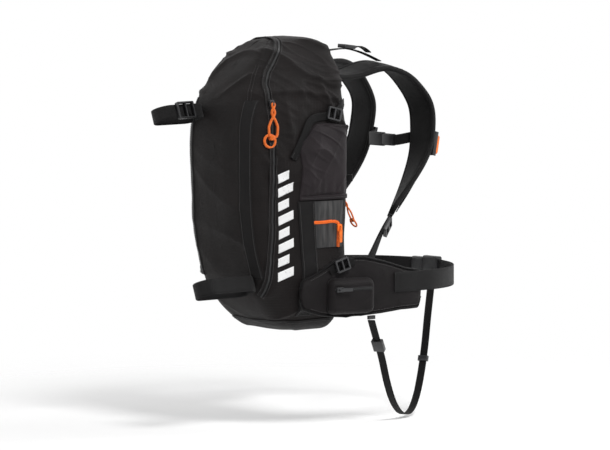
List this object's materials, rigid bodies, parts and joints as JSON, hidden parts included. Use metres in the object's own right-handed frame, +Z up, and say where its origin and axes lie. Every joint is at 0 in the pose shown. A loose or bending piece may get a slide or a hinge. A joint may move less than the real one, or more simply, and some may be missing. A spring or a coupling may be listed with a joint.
{
  "type": "ski backpack",
  "caption": "Avalanche-airbag ski-touring backpack with zipped compartments, padded harness, hip belt, ski carry loops and a pull trigger.",
  "frame": {"origin": "middle of the back pads' face that lies on the wearer's back", "axes": "+Z up, +Y the way the wearer faces, +X to the wearer's right; the bag lies at -Y"},
  "size_m": [0.3528, 0.638, 0.7341],
  "materials": {
    "black_fabric": "matte ripstop nylon",
    "black_coated": "coated nylon, slight sheen",
    "stretch_fabric": "smooth stretch softshell",
    "strap_fabric": "fine woven nylon over foam",
    "pad_mesh": "spacer mesh over foam",
    "grey_mesh": "open mesh",
    "liner": "thin nylon lining",
    "airbag_fabric": "thin packed nylon",
    "black_webbing": "woven webbing",
    "black_coil": "nylon coil zip",
    "orange_coil": "nylon coil zip",
    "orange_plastic": "moulded",
    "orange_cord": "braided cord with moulded end",
    "black_plastic": "moulded acetal",
    "grey_plastic": "moulded acetal",
    "hdpe": "sheet",
    "stay_alloy": "brushed",
    "motor_steel": "turned",
    "capacitor_sleeve": "shrink sleeve"
  },
  "bodies": {
    "pack": {"airbag_roll": "airbag_fabric", "back_pads": "pad_mesh", "back_panel": "black_fabric", "back_zip": "black_coil", "base_panel": "black_coated", "belt_webbing_left": "black_webbing", "belt_webbing_right": "black_webbing", "capacitors": "capacitor_sleeve", "divider_panel": "liner", "fan_motor": "motor_steel", "frame_sheet": "hdpe", "frame_stays": "stay_alloy", "front_shell": "black_fabric", "front_strips": "black_coated", "front_zip": "black_coil", "gas_cartridges": "motor_steel", "hip_buckle_female": "grey_plastic", "hip_pockets": "black_fabric", "hip_wing_left": "strap_fabric", "hip_wing_right": "strap_fabric", "inflator_housing": "black_plastic", "intake_grille": "black_plastic", "leg_strap": "black_webbing", "leg_strap_fittings": "grey_plastic", "load_lifter_buckles": "grey_plastic", "load_lifters": "black_webbing", "lower_webbing": "black_webbing", "lumbar_pad": "pad_mesh", "main_shell": "black_fabric", "power_tray": "black_plastic", "seam_bands": "black_coated", "shoulder_strap_left": "strap_fabric", "shoulder_strap_right": "strap_fabric", "side_pocket_left": "stretch_fabric", "side_pocket_right": "stretch_fabric", "side_strap_buckles": "grey_plastic", "side_straps": "black_webbing", "side_tabs": "black_webbing", "side_zips": "orange_coil", "ski_loop_lower": "black_coated", "ski_strap_buckle": "grey_plastic", "ski_strap_upper": "black_webbing", "strap_adjusters": "grey_plastic", "trigger_dock": "black_plastic", "window_panels": "grey_mesh"},
    "fan": {"fan_rotor": "grey_plastic"},
    "trigger": {"trigger_handle": "orange_plastic"},
    "haul_loop": {"haul_handle": "black_webbing"},
    "front_slider": {"front_zip_slider": "grey_plastic"},
    "front_pull": {"front_zip_pull": "orange_cord"},
    "side_slider": {"side_zip_slider": "orange_plastic"},
    "back_slider": {"back_zip_slider": "grey_plastic"},
    "back_pull": {"back_zip_pull": "orange_cord"},
    "pocket_slider": {"hip_pocket_slider": "grey_plastic"},
    "sternum_strap": {"sternum_clips": "grey_plastic", "sternum_webbing_left": "black_webbing", "sternum_webbing_right": "black_webbing", "sternum_buckle_female": "grey_plastic"},
    "sternum_tongue": {"sternum_buckle_male": "grey_plastic"},
    "hip_tongue": {"hip_buckle_male": "grey_plastic"}
  },
  "joints": [
    {"name": "fan_spin", "type": "hinge", "parent": "pack", "child": "fan", "pos_m": [0.036, -0.0657, 0.104], "axis": [1, 0, 0], "continuous": true},
    {"name": "trigger_pull", "type": "slide", "parent": "pack", "child": "trigger", "axis": [0.0841, -0.2613, -0.9616], "range_m": [0, 0.03]},
    {"name": "haul_loop_swing", "type": "hinge", "parent": "pack", "child": "haul_loop", "pos_m": [0, -0.0083, 0.243], "axis": [-1, 0, 0], "range_deg": [-6, 55]},
    {"name": "front_zip_run", "type": "slide", "parent": "pack", "child": "front_slider", "axis": [-0.1383, 0.0307, 0.9899], "range_m": [-0.06, 0]},
    {"name": "front_pull_swing", "type": "hinge", "parent": "front_slider", "child": "front_pull", "pos_m": [0.10305, -0.1841, 0.15919], "axis": [-0.2166, -0.9763, 0], "range_deg": [0, 80]},
    {"name": "side_zip_run", "type": "slide", "parent": "pack", "child": "side_slider", "axis": [0.0253, -0.0059, 0.9997], "range_m": [-0.028, 0]},
    {"name": "back_zip_run", "type": "slide", "parent": "pack", "child": "back_slider", "axis": [0, 0, 1], "range_m": [-0.06, 0.11]},
    {"name": "back_pull_swing", "type": "hinge", "parent": "back_slider", "child": "back_pull", "pos_m": [0.101, -0.0079, -0.024], "axis": [0.9781, -0.2079, 0], "range_deg": [-20, 60]},
    {"name": "pocket_zip_run", "type": "slide", "parent": "pack", "child": "pocket_slider", "axis": [0.2698, 0.9629, 0], "range_m": [0, 0.056]},
    {"name": "sternum_height", "type": "slide", "parent": "pack", "child": "sternum_strap", "axis": [0, 0.1764, 0.9843], "range_m": [-0.012, 0.012]},
    {"name": "sternum_release", "type": "slide", "parent": "sternum_strap", "child": "sternum_tongue", "axis": [1, 0, 0], "range_m": [0, 0.022], "deforming": ["sternum_webbing_right"]},
    {"name": "hip_buckle_release", "type": "slide", "parent": "pack", "child": "hip_tongue", "axis": [-1, 0, 0], "range_m": [0, 0.03], "deforming": ["belt_webbing_left"]}
  ]
}
